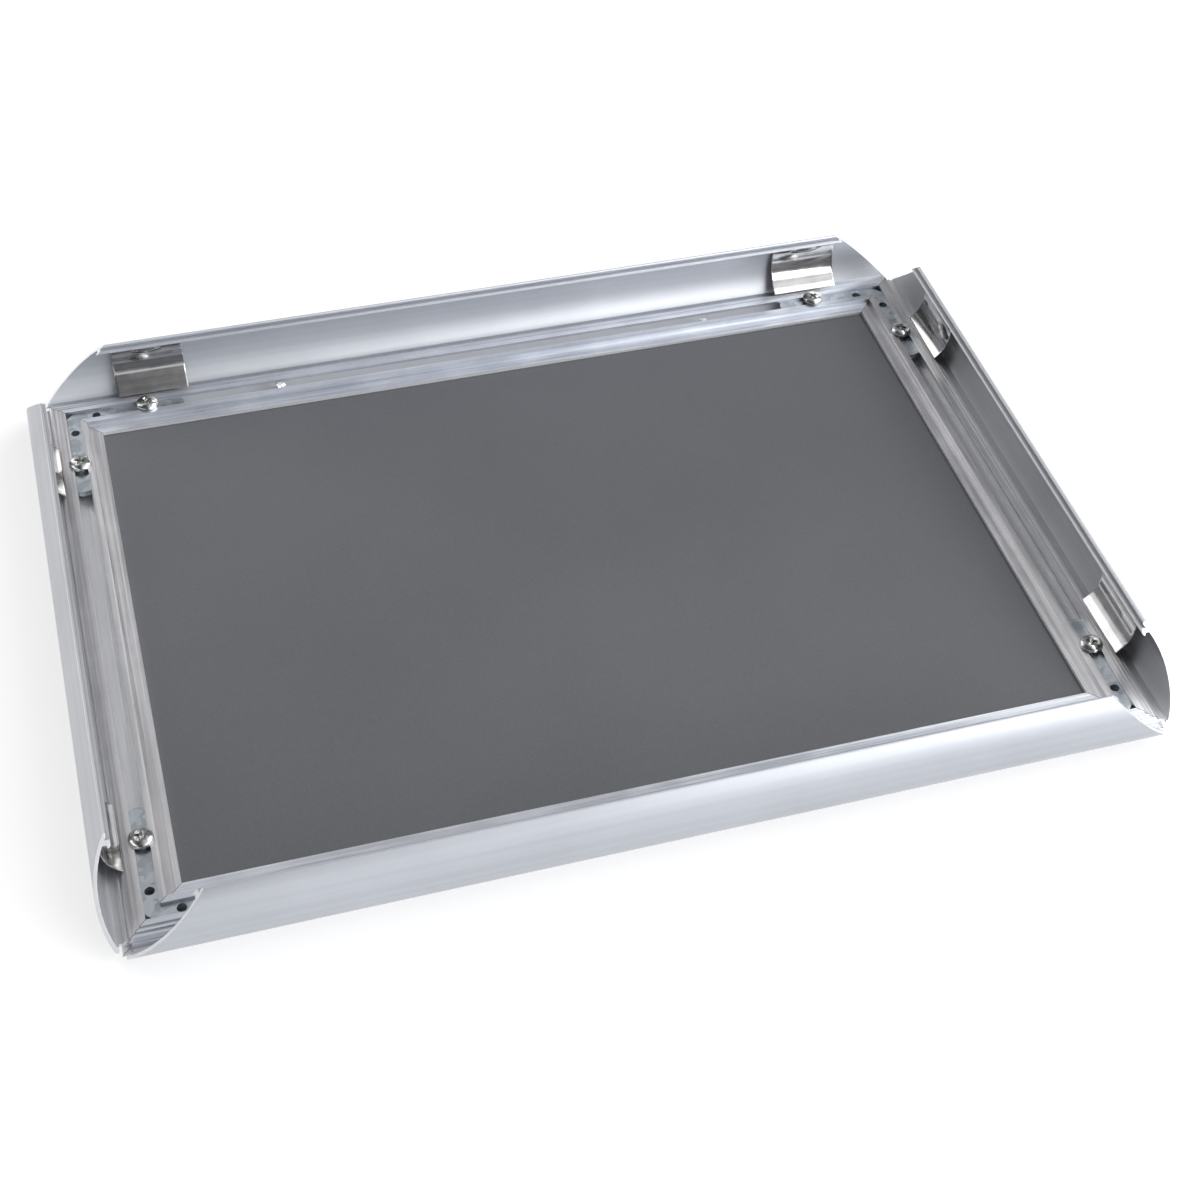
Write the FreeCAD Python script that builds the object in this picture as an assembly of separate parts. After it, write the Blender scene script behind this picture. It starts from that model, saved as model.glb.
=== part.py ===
import FreeCAD, Part
import math
import os

# A wall-mounted snap frame for one sheet: four mitred base rails, four hinged covers,
# leaf springs that snap the covers over, corner brackets with screws and a back panel.
# Millimetres, +Z up, +X along the long rails. The origin is the centre of the back plane.
# A section point is (inward, up): inward from the rail's outer edge, up from the back plane.

Vector = FreeCAD.Vector

# Overall sizes
sheet_length = 297.0
sheet_width = 210.0
sheet_margin = 15.0
cover_reach = 25.0

# Base rail
opening_edge = 19.5
sheet_clearance = 0.1
ledge_top = 4.8
ledge_thickness = 1.2
lip_top = 6.8
lip_thickness = 1.1
slot_centre = 10.3
slot_width = 4.6
channel_width = 7.6
channel_floor = 1.2
channel_wall = 1.3
lip_width = 2.0
step_drop = 0.5
rib_width = 0.7
rib_rise = 0.2
seat_depth = 0.9

# Back panel
panel_thickness = 2.0
panel_engagement = 3.4
panel_end_gap = 0.5
panel_clearance = 0.1

# Hinge: a bead on the cover turns in a hook on the base rail
hinge_inward = 1.8
hinge_up = 3.8
bead_radius = 1.15
hinge_clearance = 0.05
hook_wall = 0.9
hook_start = 60.0
hook_end = -140.0
arm_angle = 15.0
neck_thickness = 0.9
neck_clearance = 0.05
neck_slope = 0.2

# Cover, as it lies when closed. Its heights rise from the hinge
cover_wall = 1.0
corner_rise = 3.3
crown_rise = 7.0
lip_rise = 2.5
skin_thickness = 1.1
skin_overlap = 0.35
corner_round = 0.5
ridge_inset = 1.3
ridge_width = 1.1
ridge_tip_rise = 0.5
nub_reach = 0.6
tooth_depth = 0.3
mitre_gap = 0.15
mitre_margin = 5.0
running_gap = 0.3

# Angle of each cover above closed, as the frame stands open
rest_angle = {"front": 91.0, "right": 85.5, "back": 92.0, "left": 86.5}

# Leaf springs
spring_width = 25.0
spring_thickness = 0.4
spring_bow = 3.4
spring_inset = 21.0
spring_gap = 0.15

# How far each leaf has slid along its rail from its even place
spring_slide = {
    "front": (0.0, 0.0),
    "right": (3.0, -1.8),
    "back": (-3.1, 0.9),
    "left": (-1.7, 1.7),
}

# Corner brackets and their screws
bracket_thickness = 2.0
bracket_clearance = 0.05
bracket_side_gap = 0.1
bracket_reach = 30.0
bracket_corner_radius = 9.0
bracket_hole_radius = 1.5
bracket_hole_offset = 1.1
screw_inset = 17.0
screw_radius = 1.95
screw_clearance = 0.05
screw_length = 5.0
screw_head_radius = 3.8
screw_head_height = 1.9
screw_rim = 0.65
recess_width = 0.9
recess_length = 4.2
recess_depth = 1.2

# Wall screw holes through the channel floor of the two long rails
wall_hole_radius = 2.2
wall_hole_spacing = 162.0

# Worked out from the values above
length = sheet_length + 2 * sheet_margin
width = sheet_width + 2 * sheet_margin
hinge = (hinge_inward, hinge_up)
hook_inner = bead_radius + hinge_clearance
hook_outer = hook_inner + hook_wall
lip_underside = lip_top - lip_thickness
channel_outer = slot_centre - channel_width / 2
channel_inner = slot_centre + channel_width / 2
sheet_stop = sheet_margin - sheet_clearance
panel_slot_top = ledge_top - ledge_thickness
panel_slot_bottom = panel_slot_top - panel_thickness - 2 * panel_clearance
panel_edge = opening_edge - panel_engagement
lip_outer = slot_centre - slot_width / 2 - lip_width
seat_edge = lip_outer - 2 * rib_width
seat_up = lip_top - seat_depth
neck_top = hinge_up + hook_outer + neck_clearance
cover_corner = hinge_up + corner_rise
cover_crown = hinge_up + crown_rise
cover_lip = hinge_up + lip_rise
ridge_in = cover_reach - ridge_inset
ridge_out = ridge_in - ridge_width
ridge_tip = hinge_up + ridge_tip_rise
nub_top = ridge_tip + 2 * nub_reach

# Each side: half its rail's length, half the frame's span across it, and its turn about Z
sides = {
    "front": (length / 2, width / 2, 0),
    "right": (width / 2, length / 2, 90),
    "back": (length / 2, width / 2, 180),
    "left": (width / 2, length / 2, 270),
}


def polar(centre, radius, degrees):
    angle = math.radians(degrees)
    return (centre[0] + radius * math.cos(angle), centre[1] + radius * math.sin(angle))


def turned(point, degrees):
    """A closed cover's section point once the cover has turned about the hinge."""
    inward = point[0] - hinge_inward
    up = point[1] - hinge_up
    reach = math.hypot(inward, up)
    return polar(hinge, reach, math.degrees(math.atan2(up, inward)) + degrees)


def circle_through(first, second, third):
    """Centre and radius of the circle through three section points."""
    x1, y1 = second[0] - first[0], second[1] - first[1]
    x2, y2 = third[0] - first[0], third[1] - first[1]
    cross = 2 * (x1 * y2 - y1 * x2)
    x = (y2 * (x1 * x1 + y1 * y1) - y1 * (x2 * x2 + y2 * y2)) / cross
    y = (x1 * (x2 * x2 + y2 * y2) - x2 * (x1 * x1 + y1 * y1)) / cross
    return (first[0] + x, first[1] + y), math.hypot(x, y)


class Outline:
    """A closed section drawn in the plane across a rail."""

    def __init__(self, start):
        self.start = start
        self.point = start
        self.edges = []

    def spot(self, point):
        return Vector(0, point[0], point[1])

    def line(self, *points):
        for point in points:
            self.edges.append(Part.makeLine(self.spot(self.point), self.spot(point)))
            self.point = point

    def arc(self, through, end):
        curve = Part.Arc(self.spot(self.point), self.spot(through), self.spot(end))
        self.edges.append(curve.toShape())
        self.point = end

    def arc_about(self, centre, radius, first, last):
        middle = polar(centre, radius, (first + last) / 2)
        self.arc(middle, polar(centre, radius, last))

    def face(self):
        if math.dist(self.point, self.start) > 1e-6:
            self.line(self.start)
        return Part.Face(Part.Wire(self.edges))


def extruded(face, half_length):
    solid = face.extrude(Vector(2 * half_length, 0, 0))
    solid.translate(Vector(-half_length, 0, 0))
    return solid


def mitred(solid, half_length, gap):
    """Cut both ends at 45 degrees, each held back from the corner by the gap."""
    depth = cover_reach + mitre_margin
    low = Vector(-(half_length + depth - gap), -depth, -1)
    high = Vector(half_length + depth - gap, -depth, -1)
    inner_high = Vector(half_length - depth - gap, depth, -1)
    inner_low = Vector(-(half_length - depth - gap), depth, -1)
    outline = Part.makePolygon([low, high, inner_high, inner_low, low])
    wedge = Part.Face(outline).extrude(Vector(0, 0, 2 * cover_reach))
    return solid.common(wedge)


def on_side(shape, side):
    """Move a shape from the rail's own place, outer edge at y = 0, to its side of the frame."""
    _, across, turn = sides[side]
    placed = shape.copy()
    placed.translate(Vector(0, -across, 0))
    placed.rotate(Vector(), Vector(0, 0, 1), turn)
    return placed


def base_section():
    slot_out = slot_centre - slot_width / 2
    slot_in = slot_centre + slot_width / 2
    step_up = lip_top - step_drop
    rib_out = seat_edge - rib_width
    tip_out = rib_out - rib_width
    arm_bottom = hinge_up - hook_outer * math.sin(math.radians(arm_angle))
    foot = channel_outer - channel_wall
    outline = Outline((foot, 0))
    outline.line((opening_edge, 0), (opening_edge, panel_slot_bottom))
    slot_end = panel_edge - panel_end_gap
    outline.line((slot_end, panel_slot_bottom), (slot_end, panel_slot_top))
    outline.line((opening_edge, panel_slot_top), (opening_edge, ledge_top))
    outline.line((sheet_stop, ledge_top), (sheet_stop, lip_top), (slot_in, lip_top))
    outline.line((slot_in, lip_underside), (channel_inner, lip_underside))
    outline.line((channel_inner, channel_floor), (channel_outer, channel_floor))
    outline.line((channel_outer, lip_underside), (slot_out, lip_underside))
    outline.line((slot_out, lip_top), (lip_outer, lip_top), (lip_outer, step_up))
    outline.line((lip_outer - rib_width, step_up), (lip_outer - rib_width, step_up + rib_rise))
    outline.line((seat_edge, step_up + rib_rise), (seat_edge, seat_up))
    outline.line((rib_out, seat_up), (rib_out, seat_up + rib_rise))
    outline.line((tip_out, seat_up + rib_rise), polar(hinge, hook_outer, hook_start))
    outline.line(polar(hinge, hook_inner, hook_start))
    outline.arc_about(hinge, hook_inner, hook_start, hook_end)
    outline.line(polar(hinge, hook_outer, hook_end))
    outline.arc_about(hinge, hook_outer, hook_end, -arm_angle)
    outline.line((foot, arm_bottom))
    return outline.face()


def base_rail(side):
    half_length = sides[side][0]
    rail = mitred(extruded(base_section(), half_length), half_length, 0)
    if side in ("front", "back"):
        for x in (-wall_hole_spacing / 2, wall_hole_spacing / 2):
            below = Vector(x, slot_centre, -channel_floor / 2)
            rail = rail.cut(Part.makeCylinder(wall_hole_radius, 2 * channel_floor, below))
    return on_side(rail, side)


def cover_arc():
    """Centre and outer radius of the cover's bowed skin."""
    middle = (cover_wall + cover_reach) / 2
    return circle_through((cover_wall, cover_corner), (middle, cover_crown), (cover_reach, cover_lip))


def skin_inside(inward):
    centre, radius = cover_arc()
    inner = radius - skin_thickness
    return centre[1] + math.sqrt(inner * inner - (inward - centre[0]) ** 2)


def skin_face():
    centre, radius = cover_arc()
    inner = radius - skin_thickness
    wall_inside = hinge_inward + neck_thickness / 2
    round_end = cover_wall + corner_round
    round_angle = math.degrees(math.acos((round_end - centre[0]) / radius))
    lip_angle = math.degrees(math.asin((cover_lip - centre[1]) / radius))
    inner_angle = math.degrees(math.acos((wall_inside - centre[0]) / inner))
    outline = Outline((hinge_inward - neck_thickness / 2, hinge_up))
    outline.line((hinge_inward - neck_thickness / 2, neck_top), (cover_wall, neck_top + neck_slope))
    outline.line((cover_wall, cover_corner - corner_round))
    shoulder = polar(centre, radius, round_angle)
    bend = (cover_wall + 0.2 * corner_round, cover_corner - 0.1 * corner_round)
    outline.arc(bend, shoulder)
    outline.arc_about(centre, radius, round_angle, lip_angle)
    nose_centre = polar(centre, radius - skin_thickness / 2, lip_angle)
    outline.arc(polar(nose_centre, skin_thickness / 2, lip_angle - 90), polar(centre, inner, lip_angle))
    outline.arc_about(centre, inner, lip_angle, inner_angle)
    outline.line((wall_inside, hinge_up))
    return outline.face()


def ridge_face():
    """The ridge near the lip that presses on the sheet and holds the spring's edge."""
    tooth = ridge_width / 4
    outline = Outline((ridge_in, skin_inside(ridge_in) + skin_overlap))
    outline.line((ridge_in, ridge_tip))
    outline.line((ridge_in - tooth, ridge_tip + tooth_depth), (ridge_in - 2 * tooth, ridge_tip))
    outline.line((ridge_in - 3 * tooth, ridge_tip + tooth_depth), (ridge_out, ridge_tip))
    outline.line((ridge_out - nub_reach, ridge_tip + nub_reach))
    outline.line((ridge_out - nub_reach, ridge_tip + 1.5 * nub_reach))
    outline.line((ridge_out, nub_top))
    outline.line((ridge_out, skin_inside(ridge_out) + skin_overlap))
    return outline.face()


def bead_face():
    circle = Part.makeCircle(bead_radius, Vector(0, hinge_inward, hinge_up), Vector(1, 0, 0))
    return Part.Face(Part.Wire(circle))


def cover(side):
    half_length = sides[side][0]
    pieces = [extruded(face, half_length) for face in (skin_face(), ridge_face(), bead_face())]
    whole = pieces[0].fuse(pieces[1:]).removeSplitter()
    body = mitred(whole, half_length, mitre_gap)
    trim = hinge_inward + bead_radius + running_gap
    block = Part.makeBox(2 * trim, 2 * trim, neck_top, Vector(half_length - trim, -trim / 2, 0))
    other = block.mirror(Vector(), Vector(1, 0, 0))
    body = body.cut([block, other])
    body.rotate(Vector(0, hinge_inward, hinge_up), Vector(1, 0, 0), rest_angle[side])
    return on_side(body, side)


def spring_section(side):
    """A leaf bowed from the seat on the rail to the pocket behind the cover's ridge."""
    start = (seat_edge - spring_gap, seat_up + spring_thickness / 2 + spring_gap)
    pocket = (ridge_out - spring_gap, nub_top + spring_thickness)
    closed_chord = math.dist(start, pocket)
    spring_radius = closed_chord ** 2 / (8 * spring_bow) + spring_bow / 2
    end = turned(pocket, rest_angle[side])
    chord = math.dist(start, end)
    depth = spring_radius - math.sqrt(spring_radius ** 2 - chord ** 2 / 4)
    along = ((end[0] - start[0]) / chord, (end[1] - start[1]) / chord)
    middle = ((start[0] + end[0]) / 2, (start[1] + end[1]) / 2)
    crest = (middle[0] - along[1] * depth, middle[1] + along[0] * depth)
    centre, radius = circle_through(start, crest, end)
    first = math.degrees(math.atan2(start[1] - centre[1], start[0] - centre[0]))
    last = math.degrees(math.atan2(end[1] - centre[1], end[0] - centre[0]))
    if last > first:
        last -= 360
    outer = radius + spring_thickness / 2
    inner = radius - spring_thickness / 2
    outline = Outline(polar(centre, outer, first))
    outline.arc_about(centre, outer, first, last)
    outline.line(polar(centre, inner, last))
    outline.arc_about(centre, inner, last, first)
    return outline.face()


def spring(side, end):
    along = end * (sides[side][0] - opening_edge - spring_inset)
    along += spring_slide[side][0 if end < 0 else 1]
    leaf = extruded(spring_section(side), spring_width / 2)
    leaf.translate(Vector(along, 0, 0))
    return on_side(leaf, side)


def in_corner(shape, x_sign, y_sign):
    """Move a shape drawn with the frame's corner at the origin, reaching to +X and +Y."""
    placed = shape.copy()
    placed.translate(Vector(-length / 2, -width / 2, 0))
    if x_sign > 0:
        placed = placed.mirror(Vector(), Vector(1, 0, 0))
    if y_sign > 0:
        placed = placed.mirror(Vector(), Vector(0, 1, 0))
    return placed


def both_legs(distance):
    """The two places at this distance along the corner's channels."""
    return ((distance, slot_centre), (slot_centre, distance))


def corner_bracket(x_sign, y_sign):
    top = lip_underside - bracket_clearance
    outer = channel_outer + bracket_side_gap
    inner = channel_inner - bracket_side_gap
    tip = opening_edge + bracket_reach
    middle = (outer + inner) / 2
    end = tip - (inner - outer) / 2
    radius = bracket_corner_radius
    bend = outer + radius * (1 - math.sqrt(0.5))
    bottom = top - bracket_thickness

    def spot(x, y):
        return Vector(x, y, bottom)

    edges = [
        Part.makeLine(spot(outer, outer + radius), spot(outer, end)),
        Part.Arc(spot(outer, end), spot(middle, tip), spot(inner, end)).toShape(),
        Part.makeLine(spot(inner, end), spot(inner, inner)),
        Part.makeLine(spot(inner, inner), spot(end, inner)),
        Part.Arc(spot(end, inner), spot(tip, middle), spot(end, outer)).toShape(),
        Part.makeLine(spot(end, outer), spot(outer + radius, outer)),
        Part.Arc(spot(outer + radius, outer), spot(bend, bend), spot(outer, outer + radius)).toShape(),
    ]
    plate = Part.Face(Part.Wire(edges)).extrude(Vector(0, 0, bracket_thickness))
    holes = [(spot, screw_radius + screw_clearance) for spot in both_legs(opening_edge + screw_inset)]
    holes += [(spot, bracket_hole_radius) for spot in both_legs(opening_edge - bracket_hole_offset)]
    for (x, y), hole_radius in holes:
        plate = plate.cut(Part.makeCylinder(hole_radius, 2 * bracket_thickness, Vector(x, y, bottom - bracket_thickness / 2)))
    return in_corner(plate, x_sign, y_sign)


def screw():
    """A pan-head screw with a cross recess, its axis on Z and its head on the rail's lips."""
    shank = Part.makeCylinder(screw_radius, screw_length + screw_rim / 2, Vector(0, 0, lip_top - screw_length))
    corner = Vector(screw_head_radius, 0, lip_top)
    edge = Vector(screw_head_radius, 0, lip_top + screw_rim)
    crown = Vector(0, 0, lip_top + screw_head_height)
    bulge = Vector(0.72 * screw_head_radius, 0, lip_top + 0.82 * screw_head_height)
    centre = Vector(0, 0, lip_top)
    edges = [Part.makeLine(centre, corner), Part.makeLine(corner, edge)]
    edges += [Part.Arc(edge, bulge, crown).toShape(), Part.makeLine(crown, centre)]
    head = Part.Face(Part.Wire(edges)).revolve(Vector(), Vector(0, 0, 1), 360)
    solid = head.fuse(shank).removeSplitter()
    for size_x, size_y in ((recess_length, recess_width), (recess_width, recess_length)):
        place = Vector(-size_x / 2, -size_y / 2, crown.z - recess_depth)
        solid = solid.cut(Part.makeBox(size_x, size_y, 2 * recess_depth, place))
    return solid


def bracket_screws(x_sign, y_sign):
    screws = []
    for x, y in both_legs(opening_edge + screw_inset):
        one = screw()
        one.translate(Vector(x, y, 0))
        screws.append(in_corner(one, x_sign, y_sign))
    return Part.makeCompound(screws)


def back_panel():
    size_x = length - 2 * panel_edge
    size_y = width - 2 * panel_edge
    place = Vector(-size_x / 2, -size_y / 2, panel_slot_bottom + panel_clearance)
    return Part.makeBox(size_x, size_y, panel_thickness, place)


def build():
    nodes = {"back_panel": back_panel()}
    for side in sides:
        nodes["base_rail_" + side] = base_rail(side)
        nodes["cover_" + side] = cover(side)
        for end, label in ((-1, "a"), (1, "b")):
            nodes["spring_" + side + "_" + label] = spring(side, end)
    for y_sign, row in ((-1, "front"), (1, "back")):
        for x_sign, column in ((-1, "left"), (1, "right")):
            corner = row + "_" + column
            nodes["corner_bracket_" + corner] = corner_bracket(x_sign, y_sign)
            nodes["bracket_screws_" + corner] = bracket_screws(x_sign, y_sign)
    return nodes


os.makedirs("parts", exist_ok=True)
for name, shape in build().items():
    shape.exportStep("parts/" + name + ".step")
    print(name, len(shape.Solids), round(shape.Volume, 1), shape.isValid())
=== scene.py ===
import math

import bmesh
import bpy
from mathutils import Matrix, Vector


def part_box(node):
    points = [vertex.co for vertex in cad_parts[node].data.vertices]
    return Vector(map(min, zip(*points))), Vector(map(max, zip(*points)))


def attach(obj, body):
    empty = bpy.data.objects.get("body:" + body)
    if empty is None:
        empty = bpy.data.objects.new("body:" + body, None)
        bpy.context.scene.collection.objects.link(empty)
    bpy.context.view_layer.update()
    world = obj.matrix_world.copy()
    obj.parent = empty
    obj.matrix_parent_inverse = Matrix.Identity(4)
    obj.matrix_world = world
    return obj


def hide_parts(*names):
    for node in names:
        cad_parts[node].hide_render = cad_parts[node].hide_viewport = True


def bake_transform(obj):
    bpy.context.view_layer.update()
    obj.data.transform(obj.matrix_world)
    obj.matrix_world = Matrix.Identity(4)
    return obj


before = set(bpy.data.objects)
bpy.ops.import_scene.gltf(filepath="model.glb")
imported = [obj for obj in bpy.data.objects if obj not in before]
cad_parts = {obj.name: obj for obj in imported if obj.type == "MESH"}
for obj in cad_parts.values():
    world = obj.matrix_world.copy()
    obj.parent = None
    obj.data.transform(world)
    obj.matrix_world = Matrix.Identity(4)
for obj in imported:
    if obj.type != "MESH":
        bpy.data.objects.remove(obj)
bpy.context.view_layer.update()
print("frame loaded")

mm = 0.001


class Value:
    # one socket of a finish, so that sums on it read as sums
    def __init__(self, finish, socket):
        self.finish = finish
        self.socket = socket

    def maths(self, operation, first, second=0.0):
        return self.finish.node("ShaderNodeMath", {"operation": operation}, {0: first, 1: second})

    def __add__(self, other):
        return self.maths("ADD", self, other)

    def __sub__(self, other):
        return self.maths("SUBTRACT", self, other)

    def __rsub__(self, other):
        return self.maths("SUBTRACT", other, self)

    def __mul__(self, other):
        return self.maths("MULTIPLY", self, other)

    def __abs__(self):
        return self.maths("ABSOLUTE", self)

    def __lt__(self, other):
        return self.maths("LESS_THAN", self, other)

    def __gt__(self, other):
        return self.maths("GREATER_THAN", self, other)

    def sine(self):
        return self.maths("SINE", self)

    def atLeast(self, other):
        return self.maths("MAXIMUM", self, other)

    def fade(self, low, high):
        # 0 at low, 1 at high, eased between
        settings = {"interpolation_type": "SMOOTHSTEP"}
        values = {"Value": self, "From Min": low, "From Max": high}
        return self.finish.node("ShaderNodeMapRange", settings, values)

    __radd__ = __add__
    __rmul__ = __mul__


class Finish:
    def __init__(self, name, owner=None):
        self.owner = owner or bpy.data.materials.new(name)
        self.owner.use_nodes = True
        self.tree = self.owner.node_tree
        self.tree.nodes.clear()

    def node(self, kind, settings, values, output=0):
        made = self.tree.nodes.new(kind)
        for key, value in settings.items():
            setattr(made, key, value)
        for key, value in values.items():
            if isinstance(value, Value):
                self.tree.links.new(value.socket, made.inputs[key])
            else:
                made.inputs[key].default_value = value
        return Value(self, made.outputs[output])

    def position(self):
        return self.node("ShaderNodeTexCoord", {}, {}, "Object")

    def stretched(self, scale, turn=0.0):
        values = {"Vector": self.position(), "Scale": scale, "Rotation": (0, 0, turn)}
        return self.node("ShaderNodeMapping", {}, values)

    def noise(self, vector, scale, detail=2.0, rough=0.5):
        values = {"Vector": vector, "Scale": scale, "Detail": detail, "Roughness": rough}
        return self.node("ShaderNodeTexNoise", {}, values, "Fac")

    def part(self, vector, axis):
        return self.node("ShaderNodeSeparateXYZ", {}, {"Vector": vector}, axis)

    def mixed(self, share, first, second):
        settings = {"data_type": "RGBA"}
        first, second = [(*c, 1) if isinstance(c, tuple) else c for c in (first, second)]
        return self.node("ShaderNodeMix", settings, {0: share, 6: first, 7: second}, 2)

    def bump(self, height, distance, strength, normal=None):
        values = {"Height": height, "Distance": distance, "Strength": strength}
        if normal is not None:
            values["Normal"] = normal
        return self.node("ShaderNodeBump", {}, values)

    def roundedEdges(self, radius):
        return self.node("ShaderNodeBevel", {"samples": 4}, {"Radius": radius})

    def surface(self, colour, metallic, roughness, normal):
        values = {
            "Base Color": colour,
            "Metallic": metallic,
            "Roughness": roughness,
            "Normal": normal,
        }
        shader = self.node("ShaderNodeBsdfPrincipled", {}, values)
        self.tree.links.new(shader.socket, self.output("Surface"))
        return self.owner

    def output(self, name, kind="ShaderNodeOutputMaterial"):
        return self.tree.nodes.new(kind).inputs[name]


rail = {
    # painted reflection: the rails along X get a paler, bluer copy of the same metal colour than
    # the rails along Y, a lit and a shaded copy of one extrusion
    "lightX": (0.93, 0.95, 1.0),
    "darkX": (0.58, 0.61, 0.67),
    "lightY": (0.82, 0.81, 0.825),
    "darkY": (0.50, 0.495, 0.51),
    "roughness": 0.34,
    "edgeRadius": 0.16 * mm,
    "seamWidth": 0.11 * mm,
    "seam": (0.05, 0.05, 0.055),
    # painted light: a pale colour laid inside the channel, standing in for light the slot does not
    # get
    "channel": (0.93, 0.94, 0.96),
    "channelTop": 4.72 * mm,
    "channelFade": 0.15 * mm,
}


def mitreSeam(finish, width):
    # the four mitre planes run where |x| - |y| is the same
    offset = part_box("base_rail_front")[1].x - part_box("base_rail_left")[1].y
    position = finish.position()
    x = abs(finish.part(position, "X"))
    y = abs(finish.part(position, "Y"))
    return abs(x - y - offset) < width


def grain(finish, alongX, along, across):
    scale = (along, across, across) if alongX else (across, along, across)
    return finish.stretched(scale)


def drawnAluminium(name, alongX):
    finish = Finish(name)
    broad = finish.noise(grain(finish, alongX, 4, 260), 1.0, 3.0)
    fine = finish.noise(grain(finish, alongX, 25, 1700), 1.0, 4.0, 0.65)
    scuff = finish.noise(finish.stretched((1, 1, 1)), 70.0, 4.0)
    drawn = finish.noise(grain(finish, alongX, 9, 640), 1.0, 2.0)
    tone = broad * 0.25 + drawn * 0.35 + fine * 0.3 + scuff * 0.2
    seam = mitreSeam(finish, rail["seamWidth"])
    # painted reflection: the rails along X take the paler, bluer copy of the metal, the rails along
    # Y the darker one
    way = "X" if alongX else "Y"
    metal = finish.mixed(tone.fade(0.38, 0.72), rail["dark" + way], rail["light" + way])
    # painted light: below the channel's top the rail turns paler and less metallic, a painted pool
    # of light inside the slot
    top = rail["channelTop"]
    channel = finish.part(finish.position(), "Z").fade(top, top - rail["channelFade"])
    bright = finish.mixed(channel, metal, rail["channel"])
    colour = finish.mixed(seam, bright, rail["seam"])
    roughness = rail["roughness"] + (fine - 0.5) * 0.25 + (scuff - 0.5) * 0.15
    edges = finish.roundedEdges(rail["edgeRadius"])
    normal = finish.bump(drawn + fine * 0.4, 0.12 * mm, 0.9, edges)
    metallic = 0.9 - channel * 0.5
    return finish.surface(colour, metallic, roughness, normal)


cover = {
    # painted shade: the long covers along X get a darker, bluer copy of the skin than the short
    # covers along Y
    "lightX": (0.58, 0.60, 0.645),
    "darkX": (0.48, 0.50, 0.54),
    # painted reflection: a paler copy of the skin for the insides of the two long covers
    "paintedInsideLight": (0.79, 0.81, 0.85),
    "paintedInsideDark": (0.67, 0.69, 0.73),
    "lightY": (0.64, 0.65, 0.67),
    "darkY": (0.53, 0.54, 0.56),
    "cut": (0.93, 0.93, 0.95),
    "roughness": 0.44,
    "edgeRadius": 0.18 * mm,
}


def anodisedAluminium(name, alongX):
    finish = Finish(name)
    lines = finish.noise(grain(finish, alongX, 2.5, 420), 1.0, 3.0)
    etch = finish.noise(finish.position(), 5200.0, 2.0)
    cloud = finish.noise(finish.position(), 30.0, 3.0)
    tone = lines * 0.4 + etch * 0.3 + cloud * 0.3
    facing = finish.node("ShaderNodeNewGeometry", {}, {}, "True Normal")
    cutFace = abs(finish.part(facing, "X" if alongX else "Y")) > 0.35
    saw = finish.noise(finish.position(), 1500.0, 3.0)
    way = "X" if alongX else "Y"
    # painted shade: the long covers along X take the darker, bluer copy of the skin
    skin = finish.mixed(tone.fade(0.3, 0.7), cover["dark" + way], cover["light" + way])
    if alongX:
        # a paler inside on the two long covers
        # painted reflection: the insides of the long covers take this paler, lit copy of the skin
        inwardFace = finish.part(facing, "Y") * finish.part(finish.position(), "Y") < 0.0
        paintedInsideSkin = finish.mixed(tone.fade(0.3, 0.7), cover["paintedInsideDark"], cover["paintedInsideLight"])
        skin = finish.mixed(inwardFace, skin, paintedInsideSkin)
    colour = finish.mixed(cutFace, skin, cover["cut"])
    roughness = cover["roughness"] + (etch - 0.5) * 0.12 + (lines - 0.5) * 0.1
    edges = finish.roundedEdges(cover["edgeRadius"])
    normal = finish.bump(etch * 0.5 + lines * 0.6 + saw * cutFace * 2.0, 0.03 * mm, 0.35, edges)
    return finish.surface(colour, 0.8, roughness, normal)


steel = {"light": (0.70, 0.69, 0.68), "dark": (0.50, 0.49, 0.49), "roughness": 0.13}


def springSteel():
    finish = Finish("springSteel")
    rolled = finish.noise(finish.stretched((30, 30, 1400)), 1.0, 3.0)
    haze = finish.noise(finish.position(), 160.0, 4.0)
    colour = finish.mixed((rolled * 0.5 + haze * 0.5).fade(0.3, 0.7), steel["dark"], steel["light"])
    roughness = steel["roughness"] + (haze - 0.5) * 0.18 + (rolled - 0.5) * 0.06
    normal = finish.bump(haze + rolled * 0.3, 0.04 * mm, 0.25)
    return finish.surface(colour, 1.0, roughness, normal)


plating = {
    "light": (0.62, 0.67, 0.70),
    "dark": (0.40, 0.44, 0.48),
    "roughness": 0.34,
    "spangleScale": 420.0,
    "edgeRadius": 0.15 * mm,
}


def zincPlate():
    finish = Finish("zincPlate")
    cells = {"Vector": finish.position(), "Scale": plating["spangleScale"]}
    spangle = finish.node("ShaderNodeTexVoronoi", {}, cells, "Color")
    flake = finish.part(spangle, "X")
    cloud = finish.noise(finish.position(), 260.0, 5.0, 0.6)
    tone = flake * 0.35 + cloud * 0.65
    colour = finish.mixed(tone.fade(0.25, 0.75), plating["dark"], plating["light"])
    roughness = plating["roughness"] + (cloud - 0.5) * 0.3
    edges = finish.roundedEdges(plating["edgeRadius"])
    normal = finish.bump(cloud + flake * 0.3, 0.05 * mm, 0.35, edges)
    return finish.surface(colour, 0.95, roughness, normal)


screwMetal = {"light": (0.78, 0.79, 0.78), "dark": (0.42, 0.42, 0.40), "roughness": 0.13}


def platedScrew():
    finish = Finish("platedScrew")
    cloud = finish.noise(finish.position(), 900.0, 4.0)
    colour = finish.mixed(cloud.fade(0.3, 0.7), screwMetal["dark"], screwMetal["light"])
    roughness = screwMetal["roughness"] + (cloud - 0.5) * 0.15
    normal = finish.bump(cloud, 0.03 * mm, 0.3)
    return finish.surface(colour, 1.0, roughness, normal)


board = {
    "light": (0.142, 0.148, 0.160),
    "dark": (0.102, 0.107, 0.117),
    "roughness": 0.52,
    "dotPitch": 0.75 * mm,
}


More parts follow.
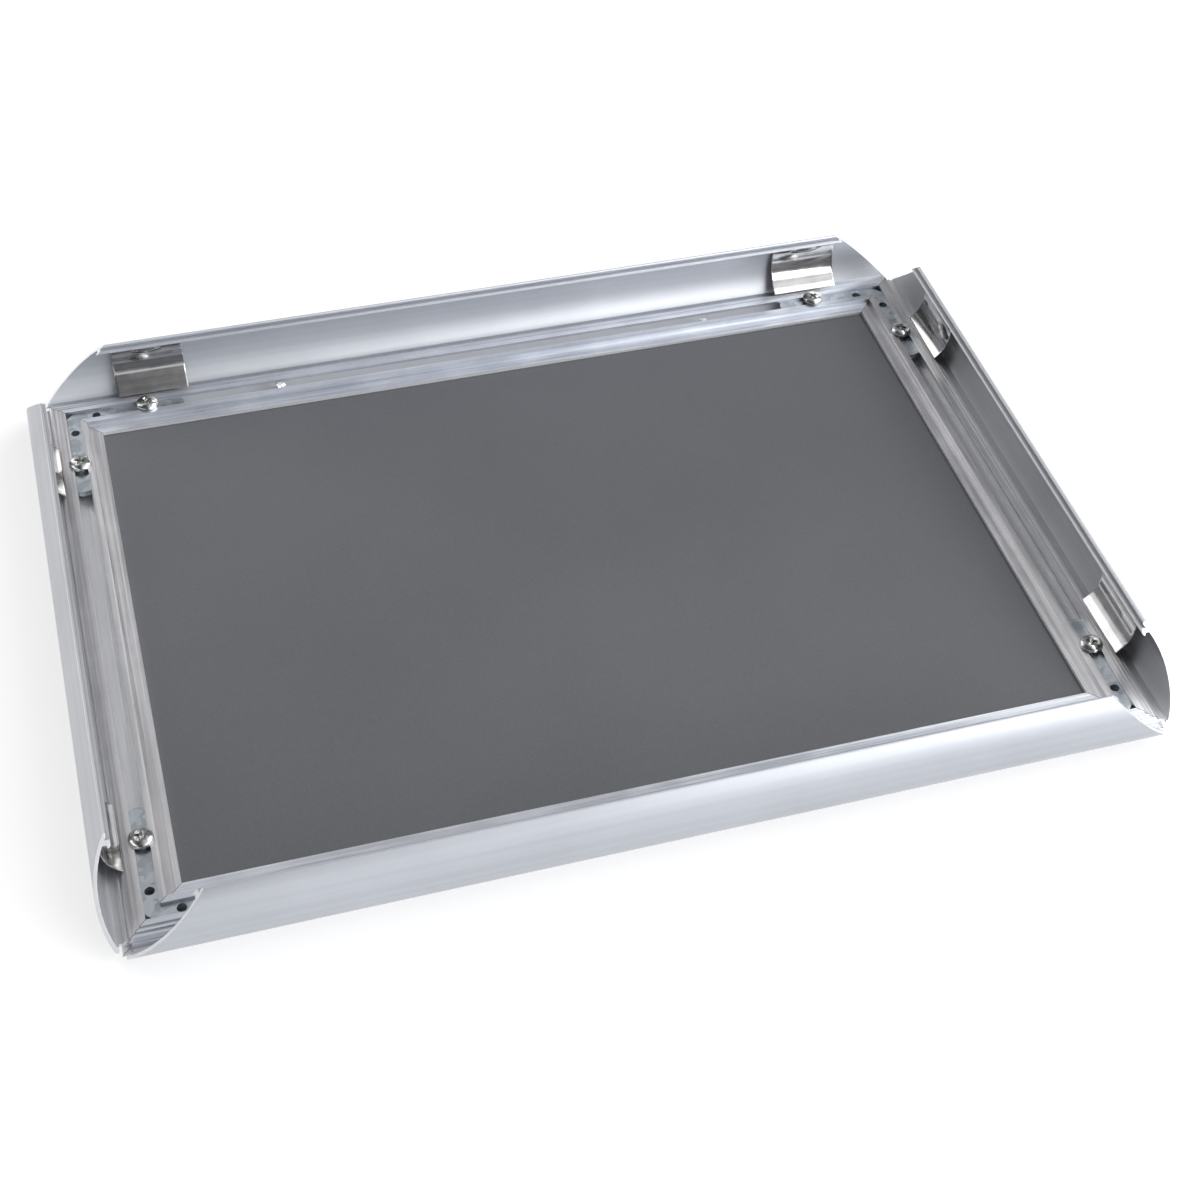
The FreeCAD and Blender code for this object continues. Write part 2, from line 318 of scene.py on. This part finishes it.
def embossedBoard():
    finish = Finish("embossedBoard")
    turned = finish.stretched((1, 1, 1), math.radians(45))
    turns = 2 * math.pi / board["dotPitch"]
    wave, crossWave = [(finish.part(turned, axis) * turns).sine() for axis in "XY"]
    dots = wave * crossWave
    cloud = finish.noise(finish.position(), 9.0, 3.0)
    speck = finish.noise(finish.position(), 1900.0, 2.0)
    tone = dots * 0.12 + cloud * 0.4 + speck * 0.45
    colour = finish.mixed(tone.fade(0.2, 0.7), board["dark"], board["light"])
    roughness = board["roughness"] + (speck - 0.5) * 0.12 + (cloud - 0.5) * 0.1
    normal = finish.bump(dots * 0.5 + speck, 0.03 * mm, 0.4)
    return finish.surface(colour, 0.0, roughness, normal)


railsAlongX = drawnAluminium("drawnAluminiumX", True)
railsAlongY = drawnAluminium("drawnAluminiumY", False)
coversAlongX = anodisedAluminium("anodisedAluminiumX", True)
coversAlongY = anodisedAluminium("anodisedAluminiumY", False)
steelFinish = springSteel()
zincFinish = zincPlate()
screwFinish = platedScrew()
boardFinish = embossedBoard()
print("finishes made")

corners = [row + "_" + column for row in ("front", "back") for column in ("left", "right")]
finishOf = {"back_panel": boardFinish}
for side in ("front", "back"):
    finishOf["base_rail_" + side] = railsAlongX
    finishOf["cover_" + side] = coversAlongX
for side in ("left", "right"):
    finishOf["base_rail_" + side] = railsAlongY
    finishOf["cover_" + side] = coversAlongY
for corner in corners:
    finishOf["corner_bracket_" + corner] = zincFinish
for name, finish in finishOf.items():
    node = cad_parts[name]
    if not node.material_slots:
        node.data.materials.append(None)
    for place in node.material_slots:
        place.material = finish
print("frame painted")


def newPiece(name, mesh, finish):
    data = bpy.data.meshes.new(name)
    mesh.to_mesh(data)
    mesh.free()
    piece = bpy.data.objects.new(name, data)
    bpy.context.scene.collection.objects.link(piece)
    data.materials.append(finish)
    return piece


def smooth(piece, angle):
    # shades the piece smooth except across edges sharper than the angle
    edit = bmesh.new()
    edit.from_mesh(piece.data)
    for face in edit.faces:
        face.smooth = True
    for edge in edit.edges:
        edge.smooth = edge.calc_face_angle(0) < angle
    edit.to_mesh(piece.data)
    edit.free()


def baked(piece):
    # the piece's mesh with its modifiers worked in
    graph = bpy.context.evaluated_depsgraph_get()
    shape = bpy.data.meshes.new_from_object(piece.evaluated_get(graph))
    piece.modifiers.clear()
    piece.data = shape


sideTurn = {"front": 0, "right": 90, "back": 180, "left": 270}
outer = {
    "front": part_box("base_rail_front")[0].y,
    "right": -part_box("base_rail_right")[1].x,
    "back": -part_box("base_rail_back")[1].y,
    "left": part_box("base_rail_left")[0].x,
}


def toSide(side):
    # from a rail's own place, its hinge side at y = 0 and running along x, to its side
    turn = Matrix.Rotation(math.radians(sideTurn[side]), 4, "Z")
    return turn @ Matrix.Translation((0, outer[side], 0))


leaf = {
    "width": 25 * mm,
    "thickness": 0.4 * mm,
    "edgeRound": 0.08 * mm,
    "arcSteps": 40,
    "widthCuts": 45,
    "dimpleHalf": (5.5 * mm, 1.0 * mm),
    "dimpleDepth": 0.7 * mm,
    "dimpleUp": 0.86,
    "footTrim": 0.9 * mm,
    "bendReach": 7.0 * mm,
    "bendWay": Vector((0, -0.342, 0.94)),
}


def leafArc(side, end):
    # the leaf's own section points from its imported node, seat first, in the rail's own place
    local = toSide(side).inverted()
    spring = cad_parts["spring_" + side + "_" + end]
    points = [local @ vertex.co for vertex in spring.data.vertices]
    middle = (min(p.x for p in points) + max(p.x for p in points)) / 2
    flat = [Vector((0, p.y, p.z)) for p in points]
    low = min(p.z for p in flat)
    seat = Vector((0, max(p.y for p in flat if p.z < low + leaf["thickness"]), low))
    tip = max(flat, key=lambda p: p.z)
    crest = min(flat, key=lambda p: p.y)
    return middle, seat, crest, tip


def circleThrough(first, second, third):
    ax, ay = second.y - first.y, second.z - first.z
    bx, by = third.y - first.y, third.z - first.z
    cross = 2 * (ax * by - ay * bx)
    y = (by * (ax * ax + ay * ay) - ay * (bx * bx + by * by)) / cross
    z = (ax * (bx * bx + by * by) - bx * (ax * ax + ay * ay)) / cross
    return Vector((0, first.y + y, first.z + z)), math.hypot(y, z)


def makeLeaf(side, end):
    name = "leaf_spring_" + side + "_" + end
    middle, seat, crest, tip = leafArc(side, end)
    centre, radius = circleThrough(seat, crest, tip)
    first = math.atan2(seat.z - centre.z, seat.y - centre.y)
    last = math.atan2(tip.z - centre.z, tip.y - centre.y)
    first -= leaf["footTrim"] / radius
    sweep = (last - first) % (2 * math.pi) - 2 * math.pi
    inner = radius - leaf["thickness"]
    mesh = bmesh.new()
    start = centre + inner * Vector((0, math.cos(first), math.sin(first)))
    half = Vector((leaf["width"] / 2, 0, 0))
    start.x = middle
    edge = mesh.edges.new((mesh.verts.new(start - half), mesh.verts.new(start + half)))
    bmesh.ops.subdivide_edges(mesh, edges=[edge], cuts=leaf["widthCuts"])
    line = mesh.verts[:] + mesh.edges[:]
    steps = leaf["arcSteps"]
    bmesh.ops.spin(mesh, geom=line, cent=centre, axis=(1, 0, 0), angle=sweep, steps=steps)
    halfLong, halfHigh = leaf["dimpleHalf"]
    dimpleAngle = first + sweep * leaf["dimpleUp"]
    for vertex in mesh.verts:
        angle = math.atan2(vertex.co.z - centre.z, vertex.co.y - centre.y)
        up = ((angle - dimpleAngle + math.pi) % (2 * math.pi) - math.pi) * inner
        reach = (up / halfHigh) ** 2 + ((vertex.co.x - middle) / halfLong) ** 2
        if reach < 1:
            outward = Vector((0, vertex.co.y - centre.y, vertex.co.z - centre.z)).normalized()
            vertex.co -= outward * leaf["dimpleDepth"] * (1 - reach) ** 1.5
    bmesh.ops.recalc_face_normals(mesh, faces=mesh.faces)
    face = mesh.faces[0]
    outward = face.calc_center_median() - centre - Vector((middle, 0, 0))
    if face.normal.dot(outward) < 0:
        bmesh.ops.reverse_faces(mesh, faces=mesh.faces)
    bmesh.ops.transform(mesh, matrix=toSide(side), verts=mesh.verts)
    piece = newPiece(name, mesh, steelFinish)
    wall = piece.modifiers.new("wall", "SOLIDIFY")
    wall.thickness = leaf["thickness"]
    wall.offset = 1
    rounding = piece.modifiers.new("rounding", "BEVEL")
    rounding.width = leaf["edgeRound"]
    rounding.segments = 2
    rounding.limit_method = "ANGLE"
    rounding.angle_limit = math.radians(50)
    baked(piece)
    smooth(piece, math.radians(40))
    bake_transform(piece)
    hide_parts("spring_" + side + "_" + end)


for side in sideTurn:
    for end in "ab":
        makeLeaf(side, end)
print("leaf springs made")

panHead = {
    "radius": 3.8 * mm,
    "height": 1.9 * mm,
    "rim": 0.65 * mm,
    "shankRadius": 1.95 * mm,
    "recessReach": 2.7 * mm,
    "recessWidth": 1.15 * mm,
    "recessDepth": 1.5 * mm,
    "recessTaper": 0.4,
    "rimRound": 0.15 * mm,
    "tipChamfer": 0.4 * mm,
    "domeSteps": 9,
    "turns": (24, 67),
}


def crossCutter(name):
    # two tapered wings and a small core, as a cross driver leaves
    mesh = bmesh.new()
    for turn in (0, 90):
        size = (2 * panHead["recessReach"], panHead["recessWidth"], 2 * panHead["recessDepth"])
        wing = bmesh.ops.create_cube(mesh, size=1, matrix=Matrix.Diagonal((*size, 1)))["verts"]
        for vertex in wing:
            if vertex.co.z < 0:
                vertex.co.x *= panHead["recessTaper"]
                vertex.co.y *= 0.8
        spun = Matrix.Rotation(math.radians(turn), 3, "Z")
        bmesh.ops.rotate(mesh, cent=(0, 0, 0), matrix=spun, verts=wing)
    bmesh.ops.create_cone(mesh, cap_ends=True, segments=24, radius1=0.4 * mm,
                          radius2=1.35 * mm, depth=2 * panHead["recessDepth"])
    return newPiece(name, mesh, screwFinish)


def makeScrews(corner):
    low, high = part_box("bracket_screws_" + corner)
    radius = panHead["radius"]
    across = [low.x + radius, high.x - radius]
    up = [low.y + radius, high.y - radius]
    outerX, innerX = across if "left" in corner else across[::-1]
    outerY, innerY = up if "front" in corner else up[::-1]
    seat = high.z - panHead["height"]
    firstTurn, secondTurn = panHead["turns"]
    spots = ((innerX, outerY, firstTurn), (outerX, innerY, secondTurn))
    rim, rimRound, chamfer = panHead["rim"], panHead["rimRound"], panHead["tipChamfer"]
    shank, tip = panHead["shankRadius"], low.z - seat
    profile = [(0, tip), (shank - chamfer, tip), (shank, tip + chamfer), (shank, 0)]
    profile += [(radius - rimRound, 0), (radius, rimRound), (radius, rim)]
    dome = panHead["height"] - rim
    for step in range(1, panHead["domeSteps"]):
        angle = step / panHead["domeSteps"] * math.pi / 2
        profile.append((radius * math.cos(angle) ** 0.8, rim + dome * math.sin(angle)))
    profile.append((0, panHead["height"]))
    whole = bmesh.new()
    for x, y, turn in spots:
        mesh = bmesh.new()
        row = [mesh.verts.new((reach, 0, height)) for reach, height in profile]
        for first, second in zip(row, row[1:]):
            mesh.edges.new((first, second))
        line = mesh.verts[:] + mesh.edges[:]
        bmesh.ops.spin(mesh, geom=line, cent=(0, 0, 0), axis=(0, 0, 1), angle=2 * math.pi,
                       steps=64, use_merge=True)
        bmesh.ops.remove_doubles(mesh, verts=mesh.verts, dist=0.001 * mm)
        bmesh.ops.recalc_face_normals(mesh, faces=mesh.faces)
        head = newPiece("head", mesh, screwFinish)
        cutter = crossCutter("cutter")
        cutter.data.transform(Matrix.Translation((0, 0, panHead["height"])))
        cut = head.modifiers.new("recess", "BOOLEAN")
        cut.operation = "DIFFERENCE"
        cut.solver = "EXACT"
        cut.use_self = True
        cut.object = cutter
        baked(head)
        spun = Matrix.Rotation(math.radians(turn), 4, "Z")
        head.data.transform(Matrix.Translation((x, y, seat)) @ spun)
        whole.from_mesh(head.data)
        bpy.data.objects.remove(head)
        bpy.data.objects.remove(cutter)
    piece = newPiece("pan_screws_" + corner, whole, screwFinish)
    smooth(piece, math.radians(35))
    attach(piece, "base")
    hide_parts("bracket_screws_" + corner)


for corner in corners:
    makeScrews(corner)
print("screws made")

swarf = {
    "radius": 1.35 * mm,
    "width": 1.5 * mm,
    "thickness": 0.14 * mm,
    "turns": 1.7,
    "pitch": 2.4 * mm,
    "steps": 40,
    "light": (0.95, 0.95, 0.96),
    "dark": (0.8, 0.8, 0.82),
    "roughness": 0.28,
    "holeX": 81 * mm,
    "fromBackEdge": 10.51 * mm,
    "up": 5.3 * mm,
}


def freshCut():
    finish = Finish("freshCut")
    ridges = finish.noise(finish.position(), 1800.0, 3.0)
    colour = finish.mixed(ridges.fade(0.3, 0.7), swarf["dark"], swarf["light"])
    normal = finish.bump(ridges, 0.05 * mm, 0.4)
    return finish.surface(colour, 0.7, swarf["roughness"], normal)


chipFinish = freshCut()


def makeSwarf(name, x, y, z, tilt):
    # a curled chip left at a drilled wall hole
    mesh = bmesh.new()
    near = mesh.verts.new((0, 0, swarf["radius"]))
    far = mesh.verts.new((swarf["width"], 0, swarf["radius"] * 0.85))
    mesh.edges.new((near, far))
    steps = swarf["steps"]
    line = mesh.verts[:] + mesh.edges[:]
    bmesh.ops.spin(mesh, geom=line, cent=(0, 0, 0), axis=(1, 0, 0), steps=steps,
                   dvec=(swarf["pitch"] / steps, 0, 0), angle=swarf["turns"] * 2 * math.pi)
    for count, vertex in enumerate(mesh.verts):
        vertex.co *= 1 + 0.12 * math.sin(count * 1.7) + 0.1 * math.sin(count * 0.37)
    place = Matrix.Translation((x, y, z)) @ Matrix.Rotation(tilt, 4, "Z")
    bmesh.ops.transform(mesh, matrix=place, verts=mesh.verts)
    piece = newPiece(name, mesh, chipFinish)
    wall = piece.modifiers.new("wall", "SOLIDIFY")
    wall.thickness = swarf["thickness"]
    baked(piece)
    smooth(piece, math.radians(60))
    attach(piece, "base")


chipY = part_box("base_rail_back")[1].y - swarf["fromBackEdge"]
for name, x, tilt in (("left", -swarf["holeX"], 0.5), ("right", swarf["holeX"], -0.6)):
    makeSwarf("drill_chip_" + name, x, chipY, swarf["up"], tilt)
print("drill chips made")


studio = {
    "floorSize": 9.0,
    "floorDrop": 0.2 * mm,
    "floorColour": (0.45, 0.45, 0.455),
    "floorGlow": 0.66,
    "bright": (1.25, 1.26, 1.28),
    "dark": (0.10, 0.102, 0.11),
}


def makeFloor():
    mesh = bmesh.new()
    bmesh.ops.create_grid(mesh, x_segments=8, y_segments=8, size=studio["floorSize"] / 2)
    finish = Finish("floor")
    rays = finish.tree.nodes.new("ShaderNodeLightPath")
    kinds = ("Is Camera Ray", "Is Glossy Ray", "Is Transmission Ray")
    camera, glossy, transmission = [Value(finish, rays.outputs[kind]) for kind in kinds]
    shown = camera.atLeast(glossy).atLeast(transmission)
    pale = finish.node("ShaderNodeBsdfDiffuse", {}, {"Color": (*studio["floorColour"], 1)})
    values = {"Color": (1, 1, 1, 1), "Strength": shown * studio["floorGlow"]}
    glow = finish.node("ShaderNodeEmission", {}, values)
    both = finish.node("ShaderNodeAddShader", {}, {0: pale, 1: glow})
    finish.tree.links.new(both.socket, finish.output("Surface"))
    floor = newPiece("floor", mesh, finish.owner)
    floor.location.z = -studio["floorDrop"]


def makeWorld():
    world = bpy.data.worlds.new("studio")
    bpy.context.scene.world = world
    finish = Finish("studio", world)
    direction = finish.node("ShaderNodeTexCoord", {}, {}, "Generated")
    x, y, z = [finish.part(direction, axis) for axis in "XYZ"]
    # pale to the right in front and overhead, and to the left at the back
    behind = y.fade(0.25, 0.6)
    right = x.fade(-0.1, 0.45)
    pale = right * (1 - behind) + (x.fade(0.35, -0.6) * 0.75 + right * 0.12) * behind
    colour = finish.mixed(pale, studio["dark"], studio["bright"])
    colour = finish.mixed(z.fade(0.2, 0.08), colour, (1.0, 1.0, 1.0))
    sky = finish.node("ShaderNodeBackground", {}, {"Color": colour, "Strength": 1.0})
    finish.tree.links.new(sky.socket, finish.output("Surface", "ShaderNodeOutputWorld"))


lamps = {
    "overheadRight": {"place": (0.85, 0.0, 0.95), "size": (1.2, 0.9), "power": 7.0},
    "frontRight": {"place": (1.1, -1.3, 0.45), "size": (1.5, 0.9), "power": 14.0},
    "backLeft": {"place": (-0.75, 0.85, 0.8), "size": (1.1, 1.0), "power": 3.2},
}


def makeLamps():
    for name, lamp in lamps.items():
        light = bpy.data.lights.new(name, "AREA")
        light.shape = "RECTANGLE"
        light.size, light.size_y = lamp["size"]
        light.energy = lamp["power"]
        stand = bpy.data.objects.new(name, light)
        stand.location = lamp["place"]
        aim = -Vector(lamp["place"])
        stand.rotation_euler = aim.to_track_quat("-Z", "Y").to_euler()
        bpy.context.scene.collection.objects.link(stand)


view = {
    "place": (-0.13524, -0.46281, 0.48872),
    "turn": (43.8128, -2.1831, -16.5551),
    "lens": 60.72,
    "shift": (-0.0264, -0.0038),
}


def makeCamera():
    camera = bpy.data.objects.new("camera", bpy.data.cameras.new("camera"))
    camera.location = view["place"]
    camera.rotation_euler = [math.radians(turn) for turn in view["turn"]]
    camera.data.lens = view["lens"]
    camera.data.sensor_width = 36
    camera.data.shift_x, camera.data.shift_y = view["shift"]
    camera.data.clip_start = 0.01
    bpy.context.scene.collection.objects.link(camera)
    bpy.context.scene.camera = camera


makeFloor()
makeWorld()
makeLamps()
makeCamera()
bpy.context.scene.view_settings.view_transform = "Standard"
print("studio made")
